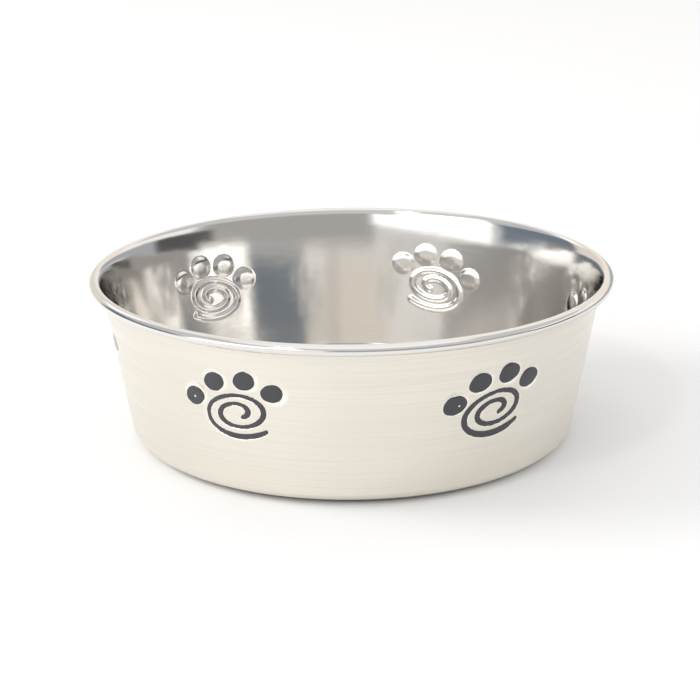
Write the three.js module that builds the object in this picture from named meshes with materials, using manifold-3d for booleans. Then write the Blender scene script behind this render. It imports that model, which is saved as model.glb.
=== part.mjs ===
// A stainless steel pet food bowl on a rubber foot ring, with enamelled paw prints pressed into its wall.
// Lengths are in millimetres and angles in degrees. +Z is up and the floor is at Z = 0.
// The photographed side faces -Y.

import * as THREE from 'three';
import { mergeVertices } from 'three/addons/utils/BufferGeometryUtils.js';
import Module from 'manifold-3d';

const wasm = await Module();
wasm.setup();

// Bowl: the base diameter is where the outside of the wall, drawn on down, meets the level of the foot
const RIM_DIAMETER = 165;
const BOWL_HEIGHT = 52.5;
const BASE_DIAMETER = 140.9;
const SHEET = 0.7;
const CORNER_RADIUS = 3.9;
const CURL_WIDTH = 4.4;
const CURL_HEIGHT = 3.4;
const CURL_TURN = 300;
const FOOT_WIDTH = 1.9;
const PANEL_RISE = 2.8;

// Foot ring, seated in the recess under the base panel
const RING_STAND_OFF = 1.5;
const RING_WIDTH = 6.5;
const RING_CHAMFER = 0.5;
const RING_CLEARANCE = 0.3;

// Paw prints, measured on the wall laid out flat: across to the right, and up along its slope.
// Each is pressed on its own, so their heights and their angles from the front are a little uneven.
const PAW_1_HEIGHT = 27.1;
const PAW_2_HEIGHT = 25.9;
const PAW_3_HEIGHT = 25.5;
const PAW_4_HEIGHT = 25;
const PAW_5_HEIGHT = 25.6;
const PAW_6_HEIGHT = 26.4;
const PAW_PLACES = [
  { angle: -26.5, height: PAW_1_HEIGHT },
  { angle: 32.4, height: PAW_2_HEIGHT },
  { angle: 94, height: PAW_3_HEIGHT },
  { angle: 155.6, height: PAW_4_HEIGHT },
  { angle: 220.6, height: PAW_5_HEIGHT },
  { angle: 277, height: PAW_6_HEIGHT },
];

// Toes, on an arc about a centre that lies below the pad's own
const TOE_ANGLES = [142.5, 112.1, 80.6, 52.5];
const TOE_LENGTH = 7.8;
const TOE_WIDTH = 7.4;
const TOE_DEPTH = 1.5;
const TOE_LEAN = 12;
const TOE_ARC_RADIUS = 18.1;
const TOE_ARC_ACROSS = 1.6;
const TOE_ARC_UP = -5.8;

// Pad, a spiral groove that opens outward as it turns to the left, while its centre drifts
const SPIRAL_ACROSS = 0.56;
const SPIRAL_UP = 1.2;
const SPIRAL_DRIFT_ACROSS = 0.27;
const SPIRAL_DRIFT_UP = -0.21;
const SPIRAL_TILT = 10.3;
const SPIRAL_START_ANGLE = -57;
const SPIRAL_END_ANGLE = 666;
const SPIRAL_START_RADIUS = 2.88;
const SPIRAL_PITCH = 4.65;
const SPIRAL_FLATNESS = 0.62;
const GROOVE_WIDTH = 2.1;
const GROOVE_DEPTH = 0.9;

// Enamel, set a little below the face of the steel
const ENAMEL_CLEARANCE = 0.25;
const TOE_ENAMEL_SINK = 0.35;
const GROOVE_ENAMEL_SINK = 0.15;

// Facets
const TURN_SEGMENTS = 60;
const CORNER_STEPS = 3;
const CURL_STEPS = 10;
const CURL_HOLLOW_STEPS = 5;
const TOE_SEGMENTS = 10;
const DISH_STEPS = 2;
const SPIRAL_PARTS = 3;
const SPIRAL_STEPS = 8;
const CUT_MARGIN = 1;

const RUBBER_COLOUR = 0x262427;
const STEEL_COLOUR = 0xd8d4cc;
const ENAMEL_COLOUR = 0x37353a;

const radians = THREE.MathUtils.degToRad;
const quarterTurn = Math.PI / 2;

// Places worked out from the sizes above
const footLevel = RING_STAND_OFF;
const panelUnderside = footLevel + PANEL_RISE;
const curlRadius = RIM_DIAMETER / 2 - CURL_WIDTH / 2;
const curlLevel = BOWL_HEIGHT - CURL_HEIGHT / 2;
const baseRadius = BASE_DIAMETER / 2;
const wallTopRadius = curlRadius - CURL_WIDTH / 2 + SHEET;
const flare = Math.atan2(wallTopRadius - baseRadius, curlLevel - footLevel);
const cornerLevel = footLevel + CORNER_RADIUS;
const cornerAxisRadius = wallRadius(cornerLevel) - CORNER_RADIUS / Math.cos(flare);
const recessRadius = cornerAxisRadius - FOOT_WIDTH;

// Radius of the wall's outside at a height
function wallRadius(height) {
  return baseRadius + (height - footLevel) * Math.tan(flare);
}

// Points on an ellipse in the turned section, from one angle to another, both ends included
function arc(radius, level, halfWidth, halfHeight, from, to, steps) {
  const points = [];
  for (let step = 0; step <= steps; step += 1) {
    const angle = from + ((to - from) * step) / steps;
    points.push(new THREE.Vector2(radius + halfWidth * Math.cos(angle), level + halfHeight * Math.sin(angle)));
  }
  return points;
}

// A section turned about the Z axis
function turned(points, segments) {
  return new THREE.LatheGeometry(points, segments).rotateX(quarterTurn);
}

// A closed geometry as a solid for joining and cutting, with its folded triangles on the axis left out
function toSolid(geometry) {
  geometry.deleteAttribute('normal');
  geometry.deleteAttribute('uv');
  const merged = mergeVertices(geometry);
  const corners = merged.index.array;
  const triangles = [];
  for (let i = 0; i < corners.length; i += 3) {
    const [a, b, c] = corners.slice(i, i + 3);
    if (a !== b && b !== c && c !== a) {
      triangles.push(a, b, c);
    }
  }
  const vertProperties = new Float32Array(merged.attributes.position.array);
  const triVerts = new Uint32Array(triangles);
  return new wasm.Manifold(new wasm.Mesh({ numProp: 3, vertProperties, triVerts }));
}

function toGeometry(solid) {
  const { vertProperties, triVerts } = solid.getMesh();
  const geometry = new THREE.BufferGeometry();
  geometry.setAttribute('position', new THREE.BufferAttribute(vertProperties, 3));
  geometry.setIndex(new THREE.BufferAttribute(triVerts, 1));
  geometry.computeVertexNormals();
  return geometry;
}

// Bends a shape from the flat wall (X across, Y up the slope, Z outward) onto the flared wall
function wrapOnWall(geometry, place) {
  const position = geometry.attributes.position;
  const point = new THREE.Vector3();
  for (let i = 0; i < position.count; i += 1) {
    point.fromBufferAttribute(position, i);
    const height = place.height + point.y * Math.cos(flare);
    const angle = radians(place.angle) + point.x / wallRadius(place.height);
    const radius = wallRadius(height) + point.z * Math.cos(flare);
    const sunk = height - point.z * Math.sin(flare);
    position.setXYZ(i, radius * Math.sin(angle), -radius * Math.cos(angle), sunk);
  }
  return geometry;
}

// The drawn sheet: underside, outer wall, rolled rim, inner wall and floor as one closed section
function bowlShell() {
  const start = Math.PI;
  const end = Math.PI - radians(CURL_TURN);
  const halfWidth = CURL_WIDTH / 2;
  const halfHeight = CURL_HEIGHT / 2;
  const inner = CORNER_RADIUS - SHEET;
  const points = [
    new THREE.Vector2(0, panelUnderside),
    new THREE.Vector2(recessRadius, panelUnderside),
    new THREE.Vector2(recessRadius, footLevel),
    ...arc(cornerAxisRadius, cornerLevel, CORNER_RADIUS, CORNER_RADIUS, -quarterTurn, -flare, CORNER_STEPS),
    ...arc(curlRadius, curlLevel, halfWidth - SHEET, halfHeight - SHEET, start, end, CURL_HOLLOW_STEPS),
    ...arc(curlRadius, curlLevel, halfWidth, halfHeight, end, start, CURL_STEPS),
    ...arc(cornerAxisRadius, cornerLevel, inner, inner, -flare, -quarterTurn, CORNER_STEPS),
    new THREE.Vector2(recessRadius + SHEET, footLevel + SHEET),
    new THREE.Vector2(recessRadius + SHEET, panelUnderside + SHEET),
    new THREE.Vector2(0, panelUnderside + SHEET),
  ];
  return toSolid(turned(points, TURN_SEGMENTS));
}

// A rubber ring that stands on the floor and fills the outer edge of the base recess
function footRing() {
  const outer = recessRadius - RING_CLEARANCE;
  const inner = outer - RING_WIDTH;
  const top = panelUnderside - RING_CLEARANCE;
  const points = [
    new THREE.Vector2(inner + RING_CHAMFER, 0),
    new THREE.Vector2(outer - RING_CHAMFER, 0),
    new THREE.Vector2(outer, RING_CHAMFER),
    new THREE.Vector2(outer, top),
    new THREE.Vector2(inner, top),
    new THREE.Vector2(inner, RING_CHAMFER),
    new THREE.Vector2(inner + RING_CHAMFER, 0),
  ];
  return toSolid(turned(points, TURN_SEGMENTS));
}

// A shallow oval dish in the flat wall: a flat lid, and below its brim an elliptical bowl
function toeDish(toe, { grow, lid, brim, depth }) {
  const from = Math.asin(Math.max(brim - lid, 0) / depth);
  const points = arc(0, brim, 1, depth, -quarterTurn, -from, DISH_STEPS);
  if (lid > brim) {
    points.push(new THREE.Vector2(1, lid));
  }
  points.push(new THREE.Vector2(0, lid));
  const angle = radians(TOE_ANGLES[toe]);
  const across = TOE_ARC_ACROSS + TOE_ARC_RADIUS * Math.cos(angle);
  const up = TOE_ARC_UP + TOE_ARC_RADIUS * Math.sin(angle);
  return turned(points, TOE_SEGMENTS)
    .scale(TOE_LENGTH / 2 + grow, TOE_WIDTH / 2 + grow, 1)
    .rotateZ(radians(TOE_LEAN))
    .translate(across, up, 0);
}

// The middle line of the pad's groove on the flat wall: a spiral of even pitch, flattened, tilted and drifting
class PadSpiral extends THREE.Curve {
  getPoint(t, target = new THREE.Vector3()) {
    const turns = ((SPIRAL_END_ANGLE - SPIRAL_START_ANGLE) / 360) * t;
    const angle = radians(SPIRAL_START_ANGLE) + 2 * Math.PI * turns;
    const radius = SPIRAL_START_RADIUS + SPIRAL_PITCH * turns;
    const across = SPIRAL_ACROSS + SPIRAL_DRIFT_ACROSS * turns;
    const up = SPIRAL_UP + SPIRAL_DRIFT_UP * turns;
    return target
      .set(radius * Math.cos(angle), SPIRAL_FLATNESS * radius * Math.sin(angle), 0)
      .applyAxisAngle(new THREE.Vector3(0, 0, 1), radians(SPIRAL_TILT))
      .add(new THREE.Vector3(across, up, 0));
  }
}

// A bar bent along the spiral and wrapped on the wall, joined from parts that are each under one turn.
// Each part but the last runs one step into the next. The bar outgrows the groove at its sides and ends alike.
function spiralBar(place, { grow, bottom, top }) {
  const spiral = new PadSpiral();
  const width = GROOVE_WIDTH + 2 * grow;
  const allSteps = SPIRAL_STEPS * SPIRAL_PARTS;
  const pastEnd = { 0: -grow, [allSteps]: grow };
  const bars = Array.from({ length: SPIRAL_PARTS }, (_, part) => {
    const first = part * SPIRAL_STEPS;
    const last = Math.min(first + SPIRAL_STEPS + 1, allSteps);
    const bar = new THREE.BoxGeometry(last - first, width, top - bottom, last - first, 1, 1);
    bar.translate((first + last) / 2, 0, (top + bottom) / 2);
    const position = bar.attributes.position;
    for (let i = 0; i < position.count; i += 1) {
      const step = Math.round(position.getX(i));
      const along = spiral.getTangent(step / allSteps);
      const aside = new THREE.Vector3(-along.y, along.x, 0);
      const point = spiral.getPoint(step / allSteps);
      point.addScaledVector(along, pastEnd[step] ?? 0).addScaledVector(aside, position.getY(i));
      position.setXYZ(i, point.x, point.y, position.getZ(i));
    }
    return toSolid(wrapOnWall(bar, place));
  });
  return bars.reduce((joined, bar) => joined.add(bar));
}

// What one pressed recess adds to the steel inside, takes from it outside, and holds
function pressedToe(place, toe) {
  const dish = (shape) => toSolid(wrapOnWall(toeDish(toe, shape), place));
  return {
    bump: dish({ grow: SHEET, lid: -SHEET / 2, brim: -SHEET, depth: TOE_DEPTH }),
    recess: dish({ grow: 0, lid: CUT_MARGIN, brim: 0, depth: TOE_DEPTH }),
    enamel: dish({
      grow: -ENAMEL_CLEARANCE,
      lid: -TOE_ENAMEL_SINK,
      brim: 0,
      depth: TOE_DEPTH - ENAMEL_CLEARANCE,
    }),
  };
}

function pressedSpiral(place) {
  const bar = (shape) => spiralBar(place, shape);
  return {
    bump: bar({ grow: SHEET, bottom: -GROOVE_DEPTH - SHEET, top: -SHEET / 2 }),
    recess: bar({ grow: 0, bottom: -GROOVE_DEPTH, top: CUT_MARGIN }),
    enamel: bar({
      grow: -ENAMEL_CLEARANCE,
      bottom: ENAMEL_CLEARANCE - GROOVE_DEPTH,
      top: -GROOVE_ENAMEL_SINK,
    }),
  };
}

// All pressed recesses, named by paw and by place in it
function pressings() {
  return PAW_PLACES.flatMap((place, paw) => {
    const toes = TOE_ANGLES.map((_, toe) => ({
      name: `paw_${paw + 1}_toe_${toe + 1}`,
      ...pressedToe(place, toe),
    }));
    return [...toes, { name: `paw_${paw + 1}_spiral_pad`, ...pressedSpiral(place) }];
  });
}

function steelMaterial() {
  return new THREE.MeshStandardMaterial({ color: STEEL_COLOUR, roughness: 0.3, metalness: 1 });
}

function rubberMaterial() {
  return new THREE.MeshStandardMaterial({ color: RUBBER_COLOUR, roughness: 0.85, metalness: 0 });
}

function enamelMaterial() {
  return new THREE.MeshStandardMaterial({ color: ENAMEL_COLOUR, roughness: 0.2, metalness: 0 });
}

function part(name, solid, material) {
  const mesh = new THREE.Mesh(toGeometry(solid), material);
  mesh.name = name;
  return mesh;
}

const recesses = pressings();
const raised = recesses.reduce((sheet, { bump }) => sheet.add(bump), bowlShell());
const pressed = recesses.reduce((sheet, { recess }) => sheet.subtract(recess), raised);

const bowl = new THREE.Group();
bowl.name = 'pet_food_bowl';
bowl.add(part('steel_bowl', pressed, steelMaterial()));
bowl.add(part('rubber_foot_ring', footRing(), rubberMaterial()));
for (const { name, enamel } of recesses) {
  bowl.add(part(`${name}_enamel`, enamel, enamelMaterial()));
}

export default bowl;
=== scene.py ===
"""A stainless steel pet bowl with pressed, enamelled paw prints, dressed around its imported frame.

Lengths are in metres and angles in radians. +Z is up, and the photographed side faces -Y.
A paw print is laid out on the flat wall first: across to the right, and up along the slope.
"""

import math

import bpy
import numpy as np
from mathutils import Matrix, Vector


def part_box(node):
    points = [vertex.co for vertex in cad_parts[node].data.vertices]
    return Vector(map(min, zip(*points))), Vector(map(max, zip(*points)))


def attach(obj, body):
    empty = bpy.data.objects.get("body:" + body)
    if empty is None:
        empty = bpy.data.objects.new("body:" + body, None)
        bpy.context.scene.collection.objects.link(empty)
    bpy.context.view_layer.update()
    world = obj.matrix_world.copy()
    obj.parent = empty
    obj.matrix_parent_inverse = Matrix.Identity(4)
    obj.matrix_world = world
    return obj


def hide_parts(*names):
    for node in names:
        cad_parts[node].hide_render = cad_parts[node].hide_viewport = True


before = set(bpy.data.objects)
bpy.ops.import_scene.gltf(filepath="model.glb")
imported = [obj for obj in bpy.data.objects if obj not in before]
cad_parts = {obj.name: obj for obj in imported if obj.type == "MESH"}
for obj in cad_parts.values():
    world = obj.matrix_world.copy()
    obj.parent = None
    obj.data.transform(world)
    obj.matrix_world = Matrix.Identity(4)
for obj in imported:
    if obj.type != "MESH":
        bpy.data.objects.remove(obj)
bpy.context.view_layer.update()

bl_info = {
    "name": "Enamelled Pet Bowl",
    "version": (1, 0, 0),
    "blender": (4, 5, 0),
    "location": "3D View > Sidebar > Pet Bowl",
    "description": "Builds a stainless steel pet bowl with enamelled paw prints and a rubber foot ring",
    "category": "Object",
}

MM = 0.001
BOWL_LOW, BOWL_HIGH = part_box("steel_bowl")
RING_LOW, RING_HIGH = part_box("rubber_foot_ring")
RING_CLEARANCE = 0.3 * MM


def linear(code):
    """Turns an sRGB hex value into a linear colour with full alpha."""
    channels = np.array([code >> 16 & 255, code >> 8 & 255, code & 255]) / 255
    curve = np.where(channels <= 0.04045, channels / 12.92, ((channels + 0.055) / 1.055) ** 2.4)
    return (*curve.tolist(), 1.0)


def length(name, description, default):
    return bpy.props.FloatProperty(
        name=name, description=description, default=default, unit="LENGTH", precision=5
    )


def angle(name, description, degrees):
    return bpy.props.FloatProperty(
        name=name, description=description, default=math.radians(degrees), unit="ROTATION", subtype="ANGLE"
    )


def lengths(name, description, *sizes):
    return bpy.props.FloatVectorProperty(
        name=name,
        description=description,
        default=[size * MM for size in sizes],
        size=len(sizes),
        unit="LENGTH",
        precision=5,
    )


def angles(name, description, *degrees):
    return bpy.props.FloatVectorProperty(
        name=name,
        description=description,
        default=[math.radians(turn) for turn in degrees],
        size=len(degrees),
        unit="ROTATION",
    )


def amount(name, description, default):
    return bpy.props.FloatProperty(name=name, description=description, default=default, subtype="FACTOR")


def colour(name, description, code):
    return bpy.props.FloatVectorProperty(
        name=name, description=description, default=linear(code), size=4, min=0.0, max=1.0, subtype="COLOR"
    )


class BowlSizes(bpy.types.PropertyGroup):
    """Sizes of the drawn steel sheet."""

    rim_radius: length("Rim radius", "Outer edge of the rolled rim", BOWL_HIGH.x)
    height: length("Height", "Top of the rolled rim above the floor", BOWL_HIGH.z)
    foot_level: length("Foot level", "Lowest steel above the floor", BOWL_LOW.z)
    base_radius: length("Base radius", "Outside of the wall where it meets the foot level", 70.45 * MM)
    sheet: length("Sheet", "Thickness of the steel", 0.7 * MM)
    corner_radius: length("Corner radius", "Outside of the bottom corner", 3.9 * MM)
    curl_width: length("Curl width", "Rolled rim from inside to outside", 4.4 * MM)
    curl_height: length("Curl height", "Rolled rim from bottom to top", 3.4 * MM)
    curl_turn: angle("Curl turn", "How far the rim rolls over", 300)
    recess_radius: length("Recess radius", "Wall of the base recess", RING_HIGH.x + RING_CLEARANCE)
    panel_level: length("Panel level", "Underside of the base panel", RING_HIGH.z + RING_CLEARANCE)
    step_fillet: length("Step fillet", "Bend between the panel and the recess wall", 0.8 * MM)
    foot_fillet: length("Foot fillet", "Bend between the recess wall and the foot", 1.0 * MM)
    lip_level: length("Lip level", "Where the wall starts to open a little more", 42 * MM)
    lip_slope: amount("Lip slope", "How much more the wall has opened where the bend starts", 0.11)
    bend_level: length("Bend level", "Where the wall starts to bend out to the rim", 48.6 * MM)
    bend_start: length("Bend start", "How long the bend keeps to the wall", 1.3 * MM)
    bend_end: length("Bend end", "How long the bend keeps to the rim's top", 1.2 * MM)


class PawSizes(bpy.types.PropertyGroup):
    """Sizes of one pressed paw print on the flat wall, and the place of each print."""

    turns: angles("Paw turns", "Angle of each paw from the front", -26.5, 32.4, 94, 155.6, 220.6, 277)
    levels: lengths("Paw levels", "Height of each paw above the floor", 27.1, 25.9, 25.5, 25, 25.6, 26.4)
    toe_length: length("Toe length", "Longer axis of a toe's recess with its soft edge", 8.9 * MM)
    toe_width: length("Toe width", "Shorter axis of a toe's recess with its soft edge", 8.1 * MM)
    toe_depth: length("Toe depth", "Depth of a toe's recess at its middle", 0.45 * MM)
    toe_rise: length("Toe rise", "Height of a toe's bump inside the bowl at its middle", 0.42 * MM)
    toe_lean: angle("Toe lean", "Turn of a toe's longer axis", 12)
    tip_across: amount("Tip across", "How much deeper a toe is pressed towards its right", 0.015)
    tip_up: amount("Tip up", "How much deeper a toe is pressed towards its top", 0.03)
    toe_arc_radius: length("Toe arc", "Radius of the arc on which the toes lie", 18.1 * MM)
    toe_arc_across: length("Toe arc across", "Centre of that arc, to the right", 1.6 * MM)
    toe_arc_up: length("Toe arc up", "Centre of that arc, up the slope", -5.8 * MM)
    toe_angles: angles("Toe angles", "Angle of each toe on the arc", 142.5, 112.1, 80.6, 52.5)
    spiral_across: length("Spiral across", "Centre of the spiral's inner end, to the right", 0.56 * MM)
    spiral_up: length("Spiral up", "Centre of the spiral's inner end, up the slope", 1.2 * MM)
    drift_across: length("Drift across", "How far that centre moves to the right in one turn", 0.27 * MM)
    drift_up: length("Drift up", "How far that centre moves up in one turn", -0.21 * MM)
    spiral_tilt: angle("Spiral tilt", "Turn of the flattened spiral's longer axis", 10.3)
    spiral_start: angle("Spiral start", "Angle of the spiral's inner end", -57)
    spiral_end: angle("Spiral end", "Angle of the spiral's outer end", 666)
    spiral_radius: length("Spiral radius", "Radius at the inner end", 2.88 * MM)
    spiral_pitch: length("Spiral pitch", "Growth of the radius in one turn", 4.65 * MM)
    spiral_flatness: amount("Spiral flatness", "Height of the spiral over its width", 0.62)
    groove_width: length("Groove width", "Width of the pad's groove with its soft edges", 2.1 * MM)
    groove_depth: length("Groove depth", "Depth of the pad's groove", 0.5 * MM)
    groove_rise: length("Groove rise", "Height of the groove's ridge inside the bowl", 0.4 * MM)
    groove_swell: amount("Groove swell", "How much wider the groove is at the spiral's left and right", 0.2)
    tail_swell: amount("Tail swell", "How much wider the groove is along its tail", 0.45)
    tail_start: angle("Tail start", "Where the tail starts to swell, before the outer end", 105)
    tail_full: angle("Tail full", "Where the tail is widest, before the outer end", 45)
    tail_tip: angle("Tail tip", "Where the tail starts to narrow, before the outer end", 22)
    tail_taper: amount("Tail taper", "How much narrower the tail is at the outer end", 0.35)


class EnamelSizes(bpy.types.PropertyGroup):
    """How the enamel lies in its recesses."""

    toe_lengths: lengths("Toe lengths", "Enamel along the toes of each paw", 6.6, 8.0, 7.2, 7.6, 6.9, 7.4)
    toe_width: length("Toe width", "Height of the enamel in a toe", 5.8 * MM)
    toe_shift: amount("Toe shift", "Share of a shorter fill's lack by which it lies to the left", 0.6)
    toe_drops: lengths("Toe drops", "How far each first toe's fill ran", 1.25, 0.65, 0.9, 0.75, 1.1, 0.8)
    drop_fade: amount("Drop fade", "How much less of that each next toe's fill ran", 0.32)
    toe_stray: length("Toe stray", "How far a toe's fill strays from its place", 0.1 * MM)
    toe_sink: length("Toe sink", "Enamel below the wall's face in a toe", 0.2 * MM)
    sink_spread: amount("Sink spread", "How much that differs from toe to toe", 0.2)
    toe_film: length("Toe film", "Thinnest enamel towards a toe's edge", 0.05 * MM)
    meniscus: length("Meniscus", "How softly the pool's skin bends up into that film", 0.08 * MM)
    root: length("Root", "How far a toe's fill is let into the steel", 0.3 * MM)
    pinhole: length("Pinhole", "Size of the bubble that burst in each paw's first toe", 0.34 * MM)
    hole_places: lengths("Hole places", "Each pinhole to the right", -0.2, 1.5, 0.5, -0.6, 1.1, 0.3)
    hole_drop: length("Hole drop", "Each pinhole below its fill's middle", 0.3 * MM)
    groove_sinks: lengths("Groove sinks", "Enamel below the face", 0.2, 0.13, 0.16, 0.18, 0.15, 0.17)
    groove_waver: amount("Groove waver", "How much that differs along a groove", 0.25)
    groove_gaps: lengths("Groove gaps", "How much more at the left", 0.14, 0, 0.03, 0.06, 0.02, 0.05)
    groove_slump: amount("Groove slump", "Slope of the groove's enamel", 0.05)
    fray: length("Fray", "Roughness of the edges in a groove", 0.02 * MM)
    crown: length("Crown", "Rise of the enamel's skin at its middle", 0.08 * MM)
    edge: length("Edge", "Thickness of the enamel where it ends", 0.05 * MM)
    seed: bpy.props.IntProperty(name="Seed", description="Draws the fills' small differences", default=7)


class RingSizes(bpy.types.PropertyGroup):
    """Sizes of the rubber foot ring."""

    outer_radius: length("Outer radius", "Outside of the ring", RING_HIGH.x)
    top: length("Top", "Upper face of the ring", RING_HIGH.z)
    width: length("Width", "Ring from inside to outside", 6.5 * MM)
    edge_radius: length("Edge radius", "Rounding of its edges", 0.5 * MM)
    tread_depth: length("Tread depth", "Depth of the fine rings moulded in its underside", 0.12 * MM)
    treads: bpy.props.IntProperty(name="Treads", description="Number of those fine rings", default=4)


class Finishes(bpy.types.PropertyGroup):
    """Colours of the surfaces."""

    brushed: colour("Brushed steel", "Outside of the bowl", 0xF0EBE1)
    brushed_dark: colour("Brush marks", "Deeper marks of the brushing", 0xEAE5DB)
    punched: colour("Punched steel", "Bottom of the pressed recesses", 0xF8F4EC)
    polished: colour("Polished steel", "Inside of the bowl and its rim", 0xE7E5E2)
    rubbed: colour("Rubbed marks", "Duller rings on the base inside the bowl", 0xD6D4CF)
    rubber: colour("Rubber", "Foot ring", 0x1C1B1D)
    dust: colour("Dust", "Dust on the foot ring", 0x2B2A2B)
    enamel: colour("Enamel", "Fills of the paw prints", 0x434349)
    floor: colour("Floor", "Floor under the bowl", 0xE8E8E8)


class StageSizes(bpy.types.PropertyGroup):
    """The camera at the photograph's place, and the floor."""

    distance: length("Distance", "Camera from its target", 544.5 * MM)
    elevation: angle("Elevation", "Camera above the horizon", 18.145)
    roll: angle("Roll", "Turn of the camera about its line of sight", -0.546)
    target_across: length("Target across", "What the camera looks at, to the right", -0.64 * MM)
    target_level: length("Target level", "What the camera looks at, above the floor", 24.66 * MM)
    lens: bpy.props.FloatProperty(
        name="Lens", description="Focal length on a sensor 36 mm wide", default=86.99, unit="CAMERA"
    )
    floor_size: length("Floor size", "Side of the floor", 12.0)
    floor_lift: amount("Floor lift", "White light that the floor adds where it is seen", 0.16)


SIZE_GROUPS = (BowlSizes, PawSizes, EnamelSizes, RingSizes, Finishes, StageSizes)


def sizes_of(group):
    """The scene's values of one group of sizes."""
    return getattr(bpy.context.scene, scene_name(group))


def scene_name(group):
    return "pet_bowl_" + group.__name__.lower()


def fall(x, inside, outside):
    """One up to inside, zero from outside, and between them a smooth step with level ends."""
    t = np.clip((outside - x) / (outside - inside), 0, 1)
    return t * t * (3 - 2 * t)


def arc(radius, level, half_width, half_height, start, end, count):
    """Points of an ellipse in the section, as rows of radius and level."""
    turn = np.linspace(start, end, count)
    return np.stack([radius + half_width * np.cos(turn), level + half_height * np.sin(turn)], axis=1)


class Wall:
    """The straight flared wall: its slope, its radius at a height, and where its corner turns."""

    def __init__(self, bowl):
        self.curl_radius = bowl.rim_radius - bowl.curl_width / 2
        self.curl_level = bowl.height - bowl.curl_height / 2
        self.base_radius = bowl.base_radius
        self.foot_level = bowl.foot_level
        top_radius = bowl.rim_radius - bowl.curl_width + bowl.sheet
        self.flare = math.atan2(top_radius - bowl.base_radius, self.curl_level - bowl.foot_level)
        self.corner_level = bowl.foot_level + bowl.corner_radius
        self.corner_axis = self.radius(self.corner_level) - bowl.corner_radius / math.cos(self.flare)

    def radius(self, level):
        """Outside of the wall: a straight line in the section."""
        return self.base_radius + (level - self.foot_level) * math.tan(self.flare)

    def wrap(self, paws, paw, across, up, out):
        """Carries flat points onto the cone: across turns about the axis, up climbs, and out is normal."""
        level = paws.levels[paw] + up * math.cos(self.flare)
        turn = paws.turns[paw] + across / self.radius(paws.levels[paw])
        radius = self.radius(level) + out * math.cos(self.flare)
        height = level - out * math.sin(self.flare)
        return np.stack([radius * np.sin(turn), -radius * np.cos(turn), height], axis=-1)


def toe_centre(paws, toe):
    turn = paws.toe_angles[toe]
    across = paws.toe_arc_across + paws.toe_arc_radius * math.cos(turn)
    up = paws.toe_arc_up + paws.toe_arc_radius * math.sin(turn)
    return across, up


def toe_reach(paws, toe, across, up, grow=0.0):
    """Distance from a toe's centre, where 1 is the edge of its leaning ellipse, widened by grow."""
    centre_across, centre_up = toe_centre(paws, toe)
    dx, dy = across - centre_across, up - centre_up
    cos, sin = math.cos(paws.toe_lean), math.sin(paws.toe_lean)
    along = (dx * cos + dy * sin) / (paws.toe_length / 2 + grow)
    aside = (dy * cos - dx * sin) / (paws.toe_width / 2 + grow)
    return np.hypot(along, aside)


def toe_tip(paws, toe, across, up):
    """How much deeper than its middle a toe is pressed: a plane that tips towards its upper right."""
    centre_across, centre_up = toe_centre(paws, toe)
    return paws.tip_across * (across - centre_across) + paws.tip_up * (up - centre_up)


def toe_hollow(paws, toe, across, up, level=0.56):
    """Depth of a toe's recess: a tipped plane over its level share, and a smooth step up to its edge."""
    plane = paws.toe_depth + toe_tip(paws, toe, across, up)
    return plane * fall(toe_reach(paws, toe, across, up), level, 1.0)


def spiral_line(paws, share):
    """The pad's middle line: a spiral of even pitch, flattened, tilted and drifting, with its half width.

    share runs from 0 at the inner end to 1 at the outer end. The groove is widest at the spiral's left and
    right, and along its tail, which narrows to a tip.
    """
    turn = paws.spiral_start + (paws.spiral_end - paws.spiral_start) * share
    turns = (turn - paws.spiral_start) / (2 * math.pi)
    radius = paws.spiral_radius + paws.spiral_pitch * turns
    wide, high = radius * np.cos(turn), paws.spiral_flatness * radius * np.sin(turn)
    cos, sin = math.cos(paws.spiral_tilt), math.sin(paws.spiral_tilt)
    across = paws.spiral_across + paws.drift_across * turns + wide * cos - high * sin
    up = paws.spiral_up + paws.drift_up * turns + wide * sin + high * cos
    left = paws.spiral_end - turn
    tail = fall(left, paws.tail_full, paws.tail_start)
    half = paws.groove_width / 2 * (1 + paws.groove_swell * np.cos(2 * turn) + paws.tail_swell * tail)
    half *= 1 - paws.tail_taper * fall(left, 0.0, paws.tail_tip)
    return np.stack([across, up], axis=-1), half


def spiral_reach(paws, across, up, samples=1500):
    """Distance to the pad's middle line, and the groove's half width at the nearest point."""
    line, half = spiral_line(paws, np.linspace(0, 1, samples))
    flat = np.stack([across.ravel(), up.ravel()], axis=1).astype(np.float32)
    gaps = (flat[:, :1] - line[:, 0].astype(np.float32)) ** 2
    gaps += (flat[:, 1:] - line[:, 1].astype(np.float32)) ** 2
    nearest = np.argmin(gaps, axis=1)
    reach = np.linalg.norm(flat - line[nearest], axis=1)
    return reach.reshape(across.shape), half[nearest].reshape(across.shape)


def groove_hollow(paws, reach, half, level=0.2):
    """Depth of the pad's groove: level over a share of its width, with a smooth step up at each side."""
    return paws.groove_depth * fall(reach / half, level, 1.0)


def pressed_outside(paws, across, up):
    """Depth of the pressing below the wall's outer face."""
    depth = groove_hollow(paws, *spiral_reach(paws, across, up))
    for toe in range(len(paws.toe_angles)):
        depth = np.maximum(depth, toe_hollow(paws, toe, across, up))
    return depth


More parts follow.
